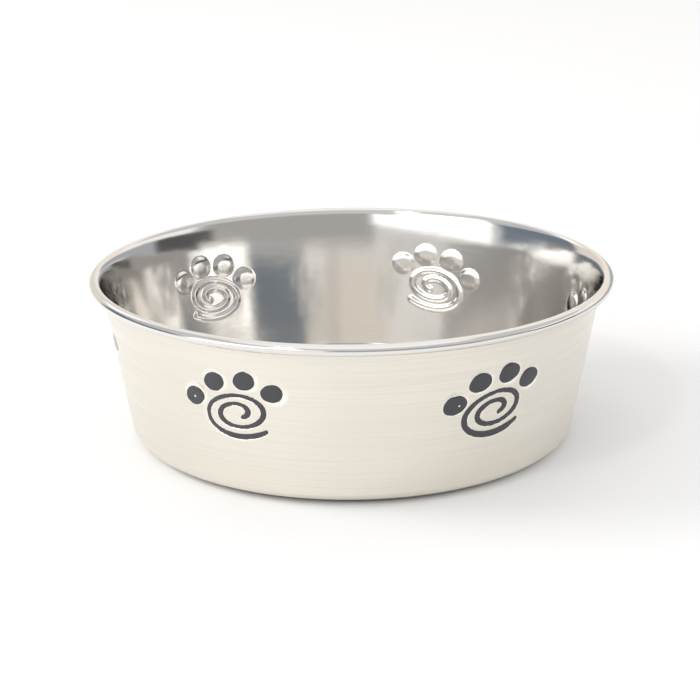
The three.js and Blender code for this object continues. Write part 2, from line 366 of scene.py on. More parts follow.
def pressed_inside(paws, across, up, spread=-0.15 * MM, foot=0.25, ridge=1.6 * MM):
    """Height of the pressing above the wall's inner face.

    The groove raises a rounded ridge, a squared cosine across. Each toe raises a flat-topped cap, one minus
    the cubed reach, tipped like its recess, whose foot is bent into the wall by a square. Where two meet,
    their cubes are added.
    """
    reach, _ = spiral_reach(paws, across, up)
    height = paws.groove_rise * np.cos(math.pi / 2 * np.minimum(reach / ridge, 1)) ** 2
    for toe in range(len(paws.toe_angles)):
        cap = 1 - toe_reach(paws, toe, across, up, spread) ** 3
        cap = np.where(cap > foot, cap, np.maximum(cap + foot, 0) ** 2 / (4 * foot))
        rise = paws.toe_rise + toe_tip(paws, toe, across, up)
        height = np.cbrt(height**3 + (rise * cap) ** 3)
    return height


def relief(field, paws, across, up, step=0.04 * MM):
    """A pressing's height with its slopes across and up, from differences over a small step."""
    slope_across = (field(paws, across + step, up) - field(paws, across - step, up)) / (2 * step)
    slope_up = (field(paws, across, up + step) - field(paws, across, up - step)) / (2 * step)
    return field(paws, across, up), slope_across, slope_up


def closed_mesh(name, points, normals=None, pressed=None, ring=False):
    """A closed mesh from a grid whose columns run round. Rows run round too, or end in two poles.

    points has rows, columns and three coordinates. With poles, the first and last row are each one point.
    pressed is one number for each point, which a material can read.
    """
    rows, columns = points.shape[:2]
    body = points.reshape(-1, 3)
    here = np.arange(columns)
    after = (here + 1) % columns
    start = np.arange(rows if ring else rows - 1)[:, None] * columns
    below = (np.arange(1, rows + 1) % rows)[: len(start), None] * columns
    quads = np.stack([start + here, start + after, below + after, below + here], axis=-1)
    if ring:
        triangles = np.empty((0, 3), int)
        quads = quads.reshape(-1, 4)
        keep = np.arange(rows * columns)
    else:
        first = np.stack([np.zeros(columns, int), below[0] + after, below[0] + here], axis=-1)
        pole = np.full(columns, start[-1] + columns)
        last = np.stack([start[-1] + here, start[-1] + after, pole], axis=-1)
        triangles = np.concatenate([first, last])
        quads = quads[1:-1].reshape(-1, 4)
        keep = np.concatenate([[0], np.arange(columns, (rows - 1) * columns + 1)])
    number = np.zeros(rows * columns, int)
    number[keep] = np.arange(len(keep))
    corners = np.concatenate([number[quads].ravel(), number[triangles].ravel()])
    counts = np.concatenate([np.full(len(quads), 4), np.full(len(triangles), 3)])
    mesh = bpy.data.meshes.new(name)
    mesh.vertices.add(len(keep))
    mesh.vertices.foreach_set("co", body[keep].ravel())
    mesh.loops.add(len(corners))
    mesh.loops.foreach_set("vertex_index", corners)
    mesh.polygons.add(len(counts))
    mesh.polygons.foreach_set("loop_start", np.concatenate([[0], np.cumsum(counts)[:-1]]))
    mesh.polygons.foreach_set("use_smooth", np.ones(len(counts), bool))
    mesh.update(calc_edges=True)
    if mesh.validate():
        raise RuntimeError(f"{name} has broken faces")
    if normals is not None:
        mesh.normals_split_custom_set_from_vertices(normals.reshape(-1, 3)[keep].tolist())
    if pressed is not None:
        mesh.attributes.new("pressed", "FLOAT", "POINT").data.foreach_set("value", pressed.ravel()[keep])
    return mesh


def add_piece(name, mesh, nodes, materials):
    """Puts a finished mesh into the scene, on the frame's only body, in place of its CAD nodes."""
    for material in materials:
        mesh.materials.append(material)
    piece = bpy.data.objects.new(name, mesh)
    bpy.context.scene.collection.objects.link(piece)
    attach(piece, "root")
    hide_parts(*nodes)


def feed(tree, node, inputs):
    """Sets a node's sockets, each to a value or to the socket that feeds it."""
    for socket, value in inputs.items():
        if isinstance(value, bpy.types.NodeSocket):
            tree.links.new(value, node.inputs[socket])
        else:
            node.inputs[socket].default_value = value


def add(tree, kind, inputs=None, **settings):
    """Adds a node with its settings and feeds its sockets."""
    node = tree.nodes.new(kind)
    for name, value in settings.items():
        setattr(node, name, value)
    feed(tree, node, inputs or {})
    return node


def new_material(name):
    """An empty node material with its Principled surface."""
    material = bpy.data.materials.new(name)
    material.use_nodes = True
    tree = material.node_tree
    tree.nodes.clear()
    surface = add(tree, "ShaderNodeBsdfPrincipled")
    add(tree, "ShaderNodeOutputMaterial", {"Surface": surface.outputs[0]})
    return material, tree, surface


def turned_marks(tree, along, aside):
    """Noise drawn out round the bowl's axis: marks about along metres long and aside metres apart."""
    place = add(tree, "ShaderNodeTexCoord").outputs["Object"]
    parts = add(tree, "ShaderNodeSeparateXYZ", {0: place}).outputs
    level = add(tree, "ShaderNodeVectorMath", {0: place, 1: (1, 1, 0)}, operation="MULTIPLY").outputs[0]
    radius = add(tree, "ShaderNodeVectorMath", {0: level}, operation="LENGTH").outputs["Value"]
    climb = add(tree, "ShaderNodeMath", {0: parts["Z"], 1: radius}, operation="ADD").outputs[0]
    joined = add(tree, "ShaderNodeCombineXYZ", {"X": parts["X"], "Y": parts["Y"], "Z": climb}).outputs[0]
    drawn = {0: joined, 1: (1 / along, 1 / along, 1 / aside)}
    scaled = add(tree, "ShaderNodeVectorMath", drawn, operation="MULTIPLY").outputs[0]
    grain = {"Vector": scaled, "Scale": 1.0, "Detail": 3.0, "Roughness": 0.6}
    return add(tree, "ShaderNodeTexNoise", grain).outputs["Fac"]


def brushed_stainless():
    """Stainless steel brushed on a lathe: fine lines run round the wall and blur what it mirrors."""
    finish = sizes_of(Finishes)
    material, tree, surface = new_material("brushed_stainless_steel")
    # The real lines are about 0.1 mm apart, so they are drawn 0.4 mm apart to show at all
    lines = turned_marks(tree, along=60 * MM, aside=0.4 * MM)
    bands = turned_marks(tree, along=70 * MM, aside=2 * MM)
    both = add(tree, "ShaderNodeMix", {"Factor": 0.12, 2: lines, 3: bands}, data_type="FLOAT").outputs[0]
    worn = add(tree, "ShaderNodeMapRange", {"Value": both, 1: 0.35, 2: 0.6}).outputs[0]
    tint = {"Factor": worn, 6: finish.brushed_dark, 7: finish.brushed}
    tint = add(tree, "ShaderNodeMix", tint, data_type="RGBA").outputs[2]
    rough = add(tree, "ShaderNodeMapRange", {"Value": lines, 1: 0.3, 2: 0.7, 3: 0.38, 4: 0.28}).outputs[0]
    # The punch leaves the bottom of each recess smooth, without brush lines
    pressed = add(tree, "ShaderNodeAttribute", attribute_name="pressed").outputs["Fac"]
    skin = {"Factor": pressed, 6: tint, 7: finish.punched}
    smooth = {"Factor": pressed, 2: rough, 3: 0.16}
    bump = {"Strength": 0.15, "Distance": 0.02 * MM, "Height": lines}
    feed(tree, surface, {
        "Base Color": add(tree, "ShaderNodeMix", skin, data_type="RGBA").outputs[2],
        "Roughness": add(tree, "ShaderNodeMix", smooth, data_type="FLOAT").outputs[0],
        "Normal": add(tree, "ShaderNodeBump", bump).outputs[0],
        "Tangent": add(tree, "ShaderNodeTangent", direction_type="RADIAL", axis="Z").outputs[0],
        "Metallic": 1.0,
        "Anisotropic": 0.8,
        "Anisotropic Rotation": 0.25,
    })
    return material


def polished_stainless():
    """Stainless steel polished with a mop: a mirror with a faint haze of rings and a slow waviness."""
    material, tree, surface = new_material("polished_stainless_steel")
    haze = turned_marks(tree, along=30 * MM, aside=0.8 * MM)
    waves = turned_marks(tree, along=22 * MM, aside=16 * MM)
    rough = {"Value": haze, 1: 0.3, 2: 0.7, 3: 0.1, 4: 0.13}
    bump = {"Strength": 0.25, "Distance": 0.3 * MM, "Height": waves}
    feed(tree, surface, {
        "Base Color": sizes_of(Finishes).polished,
        "Roughness": add(tree, "ShaderNodeMapRange", rough).outputs[0],
        "Normal": add(tree, "ShaderNodeBump", bump).outputs[0],
        "Tangent": add(tree, "ShaderNodeTangent", direction_type="RADIAL", axis="Z").outputs[0],
        "Metallic": 1.0,
        "Anisotropic": 0.5,
        "Anisotropic Rotation": 0.25,
    })
    return material


def satin_stainless():
    """Stainless steel rubbed with a pad in rings: a pale, cloudy sheen with a soft image."""
    finish = sizes_of(Finishes)
    material, tree, surface = new_material("satin_stainless_steel")
    # The real scratches are about 0.05 mm apart, so they are drawn 0.3 mm apart to show at all
    rings = turned_marks(tree, along=25 * MM, aside=0.3 * MM)
    worn = add(tree, "ShaderNodeMapRange", {"Value": rings, 1: 0.35, 2: 0.75}).outputs[0]
    tint = {"Factor": worn, 6: finish.polished, 7: finish.rubbed}
    rough = {"Value": rings, 1: 0.3, 2: 0.7, 3: 0.14, 4: 0.22}
    bump = {"Strength": 0.2, "Distance": 0.02 * MM, "Height": rings}
    feed(tree, surface, {
        "Base Color": add(tree, "ShaderNodeMix", tint, data_type="RGBA").outputs[2],
        "Roughness": add(tree, "ShaderNodeMapRange", rough).outputs[0],
        "Normal": add(tree, "ShaderNodeBump", bump).outputs[0],
        "Metallic": 1.0,
    })
    return material


def moulded_rubber():
    """Black moulded rubber: matt, with the fine grain of its mould and a little dust."""
    finish = sizes_of(Finishes)
    material, tree, surface = new_material("moulded_rubber")
    place = add(tree, "ShaderNodeTexCoord").outputs["Object"]
    pores = {"Vector": place, "Scale": 1 / (0.4 * MM), "Detail": 2.0}
    clouds = {"Vector": place, "Scale": 1 / (9 * MM), "Detail": 4.0}
    grain = add(tree, "ShaderNodeTexNoise", pores).outputs[0]
    dust = add(tree, "ShaderNodeTexNoise", clouds).outputs[0]
    tint = {"Factor": dust, 6: finish.rubber, 7: finish.dust}
    rough = {"Value": dust, 1: 0.3, 2: 0.7, 3: 0.62, 4: 0.85}
    bump = {"Strength": 0.4, "Distance": 0.05 * MM, "Height": grain}
    feed(tree, surface, {
        "Base Color": add(tree, "ShaderNodeMix", tint, data_type="RGBA").outputs[2],
        "Roughness": add(tree, "ShaderNodeMapRange", rough).outputs[0],
        "Normal": add(tree, "ShaderNodeBump", bump).outputs[0],
        "IOR": 1.5,
    })
    return material


def poured_enamel():
    """Dark enamel poured into the recesses: smooth and glossy, with a slow ripple in its skin."""
    material, tree, surface = new_material("poured_enamel")
    place = add(tree, "ShaderNodeTexCoord").outputs["Object"]
    swell = {"Vector": place, "Scale": 1 / (3 * MM), "Detail": 1.0}
    ripple = add(tree, "ShaderNodeTexNoise", swell).outputs[0]
    rough = {"Value": ripple, 1: 0.3, 2: 0.7, 3: 0.12, 4: 0.2}
    bump = {"Strength": 0.2, "Distance": 0.06 * MM, "Height": ripple}
    feed(tree, surface, {
        "Base Color": sizes_of(Finishes).enamel,
        "Roughness": add(tree, "ShaderNodeMapRange", rough).outputs[0],
        "Normal": add(tree, "ShaderNodeBump", bump).outputs[0],
        "IOR": 1.52,
    })
    return material


def white_floor():
    """A matt white floor that takes the bowl's shadow. Camera and mirror rays see it lifted towards white.

    The lift ends under the bowl's foot, so that the gap there stays dark.
    """
    material, tree, surface = new_material("matt_white_sweep")
    foot = Wall(sizes_of(BowlSizes)).corner_axis
    place = add(tree, "ShaderNodeTexCoord").outputs["Object"]
    radius = add(tree, "ShaderNodeVectorMath", {0: place}, operation="LENGTH").outputs["Value"]
    clear = {"Value": radius, 1: foot - 2 * MM, 2: foot + MM, 4: sizes_of(StageSizes).floor_lift}
    lift = add(tree, "ShaderNodeMapRange", clear).outputs[0]
    path = add(tree, "ShaderNodeLightPath").outputs
    seen = path["Is Camera Ray"]
    for ray in ("Is Glossy Ray", "Is Transmission Ray"):
        seen = add(tree, "ShaderNodeMath", {0: seen, 1: path[ray]}, operation="MAXIMUM").outputs[0]
    glow = add(tree, "ShaderNodeMath", {0: seen, 1: lift}, operation="MULTIPLY").outputs[0]
    feed(tree, surface, {
        "Base Color": sizes_of(Finishes).floor,
        "Emission Color": (1, 1, 1, 1),
        "Emission Strength": glow,
        "Roughness": 1.0,
        "Specular IOR Level": 0.0,
    })
    return material


# The grid of the wall is fine where the paws are pressed: from one level to another, and to both sides
PRESSED_LEVELS = (15.2 * MM, 44.6 * MM)
PRESSED_REACH = 18.5 * MM
GRID_STEP = 0.5 * MM


def sheet_section(bowl, wall):
    """The sheet's closed section: from the axis below, out, up, round the rim, down inside and to the axis.

    Gives radius and level of each row, the level of the wall's outer face across from it, and two numbers
    per row: which wall it is on (1 outside, -1 inside, 0 neither), and its finish (0 brushed, 1 polished,
    2 satin). A depth is measured into the sheet from its outer face.
    """
    quarter = math.pi / 2
    sheet, flare = bowl.sheet, wall.flare
    step, foot = bowl.step_fillet, bowl.foot_fillet
    step_axis = (bowl.recess_radius - step, bowl.panel_level - step)
    foot_axis = (bowl.recess_radius + foot, bowl.foot_level + foot)
    corner_axis = (wall.corner_axis, wall.corner_level)
    curl_axis = (wall.curl_radius, wall.curl_level)
    half_width, half_height = bowl.curl_width / 2, bowl.curl_height / 2
    curl_end = math.pi - bowl.curl_turn
    lip_rise = bowl.bend_level - bowl.lip_level

    def wall_rows(level, depth):
        """Points and unit tangents up the wall: a straight line that opens as a square above the lip."""
        above = np.maximum(level - bowl.lip_level, 0) / lip_rise
        face = np.stack([wall.radius(level) + bowl.lip_slope * lip_rise / 2 * above**2, level], axis=1)
        tangent = np.stack([math.tan(flare) + bowl.lip_slope * above, np.ones(len(level))], axis=1)
        tangent /= np.linalg.norm(tangent, axis=1, keepdims=True)
        return face + depth * np.stack([-tangent[:, 1], tangent[:, 0]], axis=1), tangent

    def bend_rows(depth, count):
        """Rows of the bend out to the rim: inside, a cubic curve from the wall's slope to level."""
        first, along = wall_rows(np.array([bowl.bend_level]), sheet)
        end = np.array([wall.curl_radius, bowl.height])
        arms = (first[0], first[0] + bowl.bend_start * along[0], end - [bowl.bend_end, 0], end)
        t = np.linspace(0, 1, count)[:, None]
        shares = ((1 - t) ** 3, 3 * (1 - t) ** 2 * t, 3 * (1 - t) * t**2, t**3)
        line = sum(share * arm for share, arm in zip(shares, arms))
        tangent = np.gradient(line, axis=0)
        tangent[0], tangent[-1] = along[0], (1, 0)
        tangent /= np.linalg.norm(tangent, axis=1, keepdims=True)
        return line + (sheet - depth) * np.stack([tangent[:, 1], -tangent[:, 0]], axis=1)

    # Rows up the wall: close together over the pressing, wide apart below and above it
    pressed = np.arange(*PRESSED_LEVELS, GRID_STEP)
    lowest = wall.corner_level - bowl.corner_radius * math.sin(flare)
    below = np.linspace(lowest, pressed[0], 5)[1:-1]
    above = np.linspace(pressed[-1], bowl.bend_level, 5)[1:-1]
    slope = np.concatenate([below, pressed, above])
    outside, inside = wall_rows(slope, 0.0)[0], wall_rows(slope, sheet)[0]
    corner, tight = bowl.corner_radius, bowl.corner_radius - sheet
    panel = np.array([0.0, 0.35, 0.7])[:, None] * [step_axis[0], 0.0]
    stretches = [
        (panel + [0, bowl.panel_level], 0, 0, None),
        (arc(*step_axis, step, step, quarter, 0, 4), 0, 0, None),
        (arc(*foot_axis, foot, foot, math.pi, 3 * quarter, 4), 0, 0, None),
        (arc(*corner_axis, corner, corner, -quarter, -flare, 7), 0, 0, None),
        (outside, 1, 0, slope),
        (bend_rows(0.0, 9)[:-1], 0, 0, None),
        (arc(*curl_axis, half_width - sheet, half_height - sheet, quarter, curl_end, 7), 0, 0, None),
        (arc(*curl_axis, half_width, half_height, curl_end, quarter, 16), 0, 1, None),
        (bend_rows(sheet, 12)[-2::-1], 0, 1, None),
        (inside[::-1], -1, 1, slope[::-1]),
        (arc(*corner_axis, tight, tight, -flare, -quarter, 7), 0, 1, None),
        (arc(*foot_axis, foot - sheet, foot - sheet, 3 * quarter, math.pi, 4), 0, 2, None),
        (arc(*step_axis, step + sheet, step + sheet, 0, quarter, 4), 0, 2, None),
        (panel[::-1] + [0, bowl.panel_level + sheet], 0, 2, None),
    ]
    rows = np.concatenate([points for points, *_ in stretches])
    side = np.concatenate([np.full(len(points), where) for points, where, *_ in stretches])
    polish = np.concatenate([np.full(len(points), shine) for points, _, shine, _ in stretches])
    level = np.concatenate([points[:, 1] if face is None else face for points, _, _, face in stretches])
    return rows, side, polish, level


def section_normals(rows):
    """Outward normals of the section, square to the chord between each row's neighbours."""
    before = np.vstack([rows[:1] * [-1, 1], rows[:-1]])
    after = np.vstack([rows[1:], rows[-1:] * [-1, 1]])
    chord = after - before
    normals = np.stack([chord[:, 1], -chord[:, 0]], axis=1)
    normals[0], normals[-1] = (0, -1), (0, 1)
    return normals / np.linalg.norm(normals, axis=1, keepdims=True)


def paw_columns(paws, wall, between=6):
    """Angles of the grid's columns, close over each paw and few between, and how many a paw has."""
    reach = np.arange(-PRESSED_REACH, PRESSED_REACH, GRID_STEP)
    fine = [turn + reach / wall.radius(level) for turn, level in zip(paws.turns, paws.levels)]
    starts = [columns[0] for columns in fine]
    ends = [*starts[1:], starts[0] + 2 * math.pi]
    coarse = [np.linspace(columns[-1], end, between + 2)[1:-1] for columns, end in zip(fine, ends)]
    return np.concatenate([np.concatenate(pair) for pair in zip(fine, coarse)]), len(reach) + between


def bowl_mesh(smoothed=0.12 * MM):
    """The pressed sheet as one turned grid.

    Each row of the section turns about the axis. On the wall's two faces the row also moves along the
    wall's normal by the depth of the nearest paw's pressing, and the normals lean against its slopes.
    A pressing as deep as smoothed has lost its brush lines.
    """
    bowl, paws = sizes_of(BowlSizes), sizes_of(PawSizes)
    wall = Wall(bowl)
    rows, side, polish, face_level = sheet_section(bowl, wall)
    normals = section_normals(rows)
    turns, stride = paw_columns(paws, wall)
    shift = np.zeros((3, len(rows), len(turns)))
    for paw, (paw_turn, paw_level) in enumerate(zip(paws.turns, paws.levels)):
        own = slice(paw * stride, (paw + 1) * stride)
        across = (turns[own] - paw_turn) * wall.radius(paw_level)
        for where, field in ((1, pressed_outside), (-1, pressed_inside)):
            on = side == where
            up = (face_level[on] - paw_level) / math.cos(wall.flare)
            shift[:, on, own] = -where * np.stack(relief(field, paws, *np.meshgrid(across, up)))
    depth, slope_across, slope_up = shift
    radius = rows[:, :1] + depth * normals[:, :1]
    level = rows[:, 1:] + depth * normals[:, 1:]
    out = normals[:, :1] - slope_up * math.sin(wall.flare)
    rise = normals[:, 1:] - slope_up * math.cos(wall.flare)
    points = np.stack([radius * np.sin(turns), -radius * np.cos(turns), level], axis=-1)
    shade = np.stack(
        [
            out * np.sin(turns) - slope_across * np.cos(turns),
            -slope_across * np.sin(turns) - out * np.cos(turns),
            rise,
        ],
        axis=-1,
    )
    shade /= np.linalg.norm(shade, axis=-1, keepdims=True)
    pressed = np.clip(np.abs(depth) / smoothed, 0, 1)
    mesh = closed_mesh("steel_bowl_skin", points, shade, pressed)
    bands = np.minimum(polish[:-1], polish[1:])
    bands = np.concatenate([bands[1:-1], bands[:1], bands[-1:]])
    mesh.polygons.foreach_set("material_index", np.repeat(bands, len(turns)).astype(np.int32))
    return mesh


class PETBOWL_OT_steel_bowl(bpy.types.Operator):
    """Builds the drawn bowl with its rolled rim and pressed paw prints"""

    bl_idname = "pet_bowl.steel_bowl"
    bl_label = "Steel Bowl"

    def execute(self, context):
        skins = (brushed_stainless(), polished_stainless(), satin_stainless())
        add_piece("pressed_steel_bowl", bowl_mesh(), ("steel_bowl",), skins)
        return {"FINISHED"}


def ring_mesh(rows=41, corner=6, columns=240):
    """The foot ring: a rounded oblong turned about the axis, its underside rippled by moulded rings."""
    ring = sizes_of(RingSizes)
    edge = ring.edge_radius
    inner, outer = ring.outer_radius - ring.width, ring.outer_radius
    quarter = math.pi / 2
    under = np.linspace(inner + edge, outer - edge, rows)[1:-1]
    wave = np.sin(math.pi * ring.treads * (under - under[0]) / (under[-1] - under[0])) ** 2
    section = np.concatenate(
        [
            np.stack([under, ring.tread_depth * wave], axis=1),
            arc(outer - edge, edge, edge, edge, -quarter, 0, corner),
            arc(outer - edge, ring.top - edge, edge, edge, 0, quarter, corner),
            arc(inner + edge, ring.top - edge, edge, edge, quarter, math.pi, corner),
            arc(inner + edge, edge, edge, edge, math.pi, 3 * quarter, corner),
        ]
    )
    turns = np.linspace(0, 2 * math.pi, columns, endpoint=False)
    radius, level = section[:, :1], section[:, 1:]
    level = np.broadcast_to(level, (len(section), columns))
    points = np.stack([radius * np.sin(turns), -radius * np.cos(turns), level], axis=-1)
    return closed_mesh("foot_ring_skin", points, ring=True)


class PETBOWL_OT_foot_ring(bpy.types.Operator):
    """Builds the rubber ring that the bowl stands on"""

    bl_idname = "pet_bowl.foot_ring"
    bl_label = "Rubber Foot Ring"

    def execute(self, context):
        add_piece("non_skid_foot_ring", ring_mesh(), ("rubber_foot_ring",), (moulded_rubber(),))
        return {"FINISHED"}


def first_crossing(inside, distances):
    """For each column, the distance at which a value first drops below zero, found between two samples."""
    below = inside < 0
    below[-1] = True
    here = np.argmax(below, axis=0)
    column = np.arange(inside.shape[1])
    high, low = inside[here - 1, column], np.minimum(inside[here, column], -1e-9)
    share = high / (high - low)
    return distances[here - 1] + share * (distances[here] - distances[here - 1])


# How the edge of a toe's enamel wavers: the number of waves round it, and their height as a share
EDGE_WAVES = ((3, 0.012), (7, 0.01))


def toe_fill_mesh(name, wall, paws, enamel, paw, toe, draw, columns=72, rows=19):
    """One toe's enamel: a leaning oval pool with a level skin, slightly crowned, and a rounded edge.

    Rings between the oval's middle and its edge carry the skin, which follows the recess as a thin film
    where that rises above the pool. The same edge, let into the steel, closes it below. The first toe has a
    pinhole where a bubble burst.
    """
    long = enamel.toe_lengths[paw]
    drop = enamel.toe_drops[paw] * (1 - enamel.drop_fade * toe)
    shift = enamel.toe_shift * (long - max(enamel.toe_lengths))
    middle = np.array(toe_centre(paws, toe)) + [shift, -drop]
    middle += enamel.toe_stray * draw.uniform(-1, 1, 2)
    sink = enamel.toe_sink * (1 + enamel.sink_spread * draw.uniform(-1, 1))
    phases = draw.uniform(0, 2 * math.pi, len(EDGE_WAVES))
    hole = middle + [enamel.hole_places[paw], -enamel.hole_drop]
    rays = np.linspace(0, 2 * math.pi, columns, endpoint=False)
    lean = rays - paws.toe_lean
    edge = 1 / np.hypot(np.cos(lean) / (long / 2), np.sin(lean) / (enamel.toe_width / 2))
    edge *= 1 + sum(high * np.sin(waves * rays + phase) for (waves, high), phase in zip(EDGE_WAVES, phases))

    def lay(rings):
        across = middle[0] + rings * edge * np.cos(rays)
        up = middle[1] + rings * edge * np.sin(rays)
        return across, up, -toe_hollow(paws, toe, across, up)

    rings = np.sin(np.linspace(0, math.pi / 2, rows))[:, None]
    across, up, floor = lay(rings)
    # The higher one of pool and film, with a soft bend between them, a crown and an edge that turns down
    over = floor + enamel.toe_film + sink
    out = (over + np.hypot(over, enamel.meniscus)) / 2 - sink
    out += enamel.crown * (1 - rings**2) - 3 * enamel.toe_film * rings**16
    if toe == 0:
        out -= 3 * sink * np.exp(-((across - hole[0]) ** 2 + (up - hole[1]) ** 2) / enamel.pinhole**2)
    below = np.array([0.97, 0.5, 0.0])[:, None]
    under = np.stack(lay(below), axis=-1) - [0, 0, enamel.root]
    across, up, out = np.moveaxis(np.concatenate([np.stack([across, up, out], axis=-1), under]), -1, 0)
    points = wall.wrap(paws, paw, across, up, out)
    return closed_mesh(name, points[:, ::-1])


class PETBOWL_OT_toe_enamel(bpy.types.Operator):
    """Pours the enamel into every toe"""

    bl_idname = "pet_bowl.toe_enamel"
    bl_label = "Toe Enamel"

    def execute(self, context):
        paws, enamel = sizes_of(PawSizes), sizes_of(EnamelSizes)
        wall = Wall(sizes_of(BowlSizes))
        draw = np.random.default_rng(enamel.seed)
        skin = poured_enamel()
        for paw in range(len(paws.turns)):
            for toe in range(len(paws.toe_angles)):
                node = f"paw_{paw + 1}_toe_{toe + 1}_enamel"
                mesh = toe_fill_mesh(f"{node}_skin", wall, paws, enamel, paw, toe, draw)
                add_piece(f"{node}_fill", mesh, (node,), (skin,))
        return {"FINISHED"}


# Columns of a pad's ribbon, as shares of its width: on its skin, and back along its underside
RIBBON_SKIN = np.array([0.0, 0.04, 0.15, 0.35, 0.5, 0.65, 0.85, 0.96, 1.0])[:, None]
RIBBON_UNDER = np.array([0.06, 0.5, 0.94])[:, None]
# The outer turn passes the pad's left at this angle, and the enamel lies lower there over about this turn
PAD_LEFT = math.radians(540)
PAD_LEFT_WIDTH = math.radians(50)


def spiral_fill_mesh(name, wall, paws, enamel, paw, draw, steps=220, cap=10, tip=0.85, window=25):
    """The pad's enamel: a ribbon along the spiral whose two edges lie where its skin meets the groove.

    At each step of the spiral a line across the groove finds both edges. The ribbon's ends are rounded by
    cap steps that run on past the spiral, as far as the tip share of its half width, while the groove
    narrows as a circle does. The skin's level follows random numbers, summed over a window of steps and
    scaled back to their spread.
    """
    line, half = spiral_line(paws, np.linspace(0, 1, steps))
    along = np.gradient(line, axis=0)
    along /= np.linalg.norm(along, axis=1, keepdims=True)
    closing = np.linspace(0, math.pi / 2, cap + 1)[1:]
    ends = ((line[0], -along[0], half[0]), (line[-1], along[-1], half[-1]))
    tips = [middle + way * (width * tip * np.sin(closing))[:, None] for middle, way, width in ends]
    line = np.concatenate([tips[0][::-1], line, tips[1]])
    along = np.concatenate([np.repeat(along[:1], cap, 0), along, np.repeat(along[-1:], cap, 0)])
    round_off = np.concatenate([np.cos(closing)[::-1], np.ones(steps), np.cos(closing)])
    half = np.concatenate([np.full(cap, half[0]), half, np.full(cap, half[-1])])
    aside = np.stack([-along[:, 1], along[:, 0]], axis=1)
    evened = np.ones(window) / math.sqrt(window)
    waver = np.convolve(draw.standard_normal(len(line) + window - 1), evened, mode="valid")
    sink = enamel.groove_sinks[paw] * (1 + enamel.groove_waver * np.tanh(waver))
    turn = np.linspace(paws.spiral_start, paws.spiral_end, len(line))
    sink += enamel.groove_gaps[paw] * np.exp(-(((turn - PAD_LEFT) / PAD_LEFT_WIDTH) ** 2))
    fray = draw.standard_normal((2, len(line) + 2))
    fray = enamel.fray * (fray[:, :-2] + 2 * fray[:, 1:-1] + fray[:, 2:])

    def skin(offset):
        return -sink - enamel.groove_slump * offset * aside[:, 1]

    def floor(offset):
        return -groove_hollow(paws, np.abs(offset), half)

    def edge(way, rough):
        """Where the skin meets the groove's floor to one side, frayed, and drawn in at the ends."""
        reach = np.linspace(0, 0.8 * paws.groove_width, 160)
        offset = way * reach[:, None]
        return way * round_off * (rough + first_crossing(skin(offset) - floor(offset), reach))

    right, left = edge(-1, fray[0]), edge(1, fray[1])
    offset = right + (left - right) * RIBBON_SKIN
    under = left + (right - left) * RIBBON_UNDER
    # From -1 at one edge to 1 at the other: a low crown between them, and edges that turn down steeply
    spread = 2 * RIBBON_SKIN - 1
    crown = enamel.crown / 2 * (1 - spread**2) * round_off
    top = skin(offset) + crown + enamel.edge * np.sqrt(1 - spread**8)
    bottom = floor(under) - enamel.edge
    offset, out = np.concatenate([offset, under]), np.concatenate([top, bottom])
    place = line + offset[..., None] * aside
    points = wall.wrap(paws, paw, place[..., 0], place[..., 1], out)
    return closed_mesh(name, np.swapaxes(points, 0, 1)[:, ::-1])


class PETBOWL_OT_spiral_enamel(bpy.types.Operator):
    """Pours the enamel into every pad's spiral groove"""

    bl_idname = "pet_bowl.spiral_enamel"
    bl_label = "Spiral Enamel"

    def execute(self, context):
        paws, enamel = sizes_of(PawSizes), sizes_of(EnamelSizes)
        wall = Wall(sizes_of(BowlSizes))
        draw = np.random.default_rng(enamel.seed + 1)
        skin = bpy.data.materials["poured_enamel"]
        for paw in range(len(paws.turns)):
            node = f"paw_{paw + 1}_spiral_pad_enamel"
            mesh = spiral_fill_mesh(f"{node}_skin", wall, paws, enamel, paw, draw)
            add_piece(f"{node}_fill", mesh, (node,), (skin,))
        return {"FINISHED"}


def add_camera(stage):
    """The photograph's camera: straight in front, tipped down by its elevation and rolled a little."""
    camera = bpy.data.objects.new("photograph_camera", bpy.data.cameras.new("photograph_camera"))
    camera.data.lens = stage.lens
    camera.data.sensor_width = 36.0
    camera.data.clip_start = 0.01
    back = Vector((0, -math.cos(stage.elevation), math.sin(stage.elevation)))
    turn = Matrix.Rotation(math.pi / 2 - stage.elevation, 4, "X") @ Matrix.Rotation(stage.roll, 4, "Z")
    target = Vector((stage.target_across, 0, stage.target_level))
    camera.matrix_world = Matrix.Translation(target + back * stage.distance) @ turn
    bpy.context.scene.collection.objects.link(camera)
    bpy.context.scene.camera = camera


def add_floor(stage):
    half = stage.floor_size / 2
    mesh = bpy.data.meshes.new("floor_sheet")
    corners = [(-half, -half, 0), (half, -half, 0), (half, half, 0), (-half, half, 0)]
    mesh.from_pydata(corners, [], [(0, 1, 2, 3)])
    mesh.materials.append(white_floor())
    floor = bpy.data.objects.new("floor_sheet", mesh)
    bpy.context.scene.collection.objects.link(floor)


LAMP_AIM = Vector((0, 0, 30 * MM))
LAMPS = (
    # Name, place, width, height, watts, colour, and whether the steel mirrors it.
    # The softbox only lights the bowl, and the steel mirrors the studio's window instead.
    ("key_softbox", (-1.66, 0.1, 1.0), 0.9, 0.8, 17.0, 0xFFFCF8, False),
    ("spark_lamp", (-0.44, -0.63, 0.92), 0.1, 0.1, 1.0, 0xFFFFFF, True),
)


def add_lamp(name, place, width, height, power, warmth, mirrored):
    lamp = bpy.data.lights.new(name, "AREA")
    lamp.shape = "RECTANGLE"
    lamp.size, lamp.size_y = width, height
    lamp.energy = power
    lamp.color = linear(warmth)[:3]
    holder = bpy.data.objects.new(name, lamp)
    holder.location = place
    holder.visible_glossy = mirrored
    holder.rotation_euler = (LAMP_AIM - Vector(place)).to_track_quat("-Z", "Y").to_euler()
    bpy.context.scene.collection.objects.link(holder)


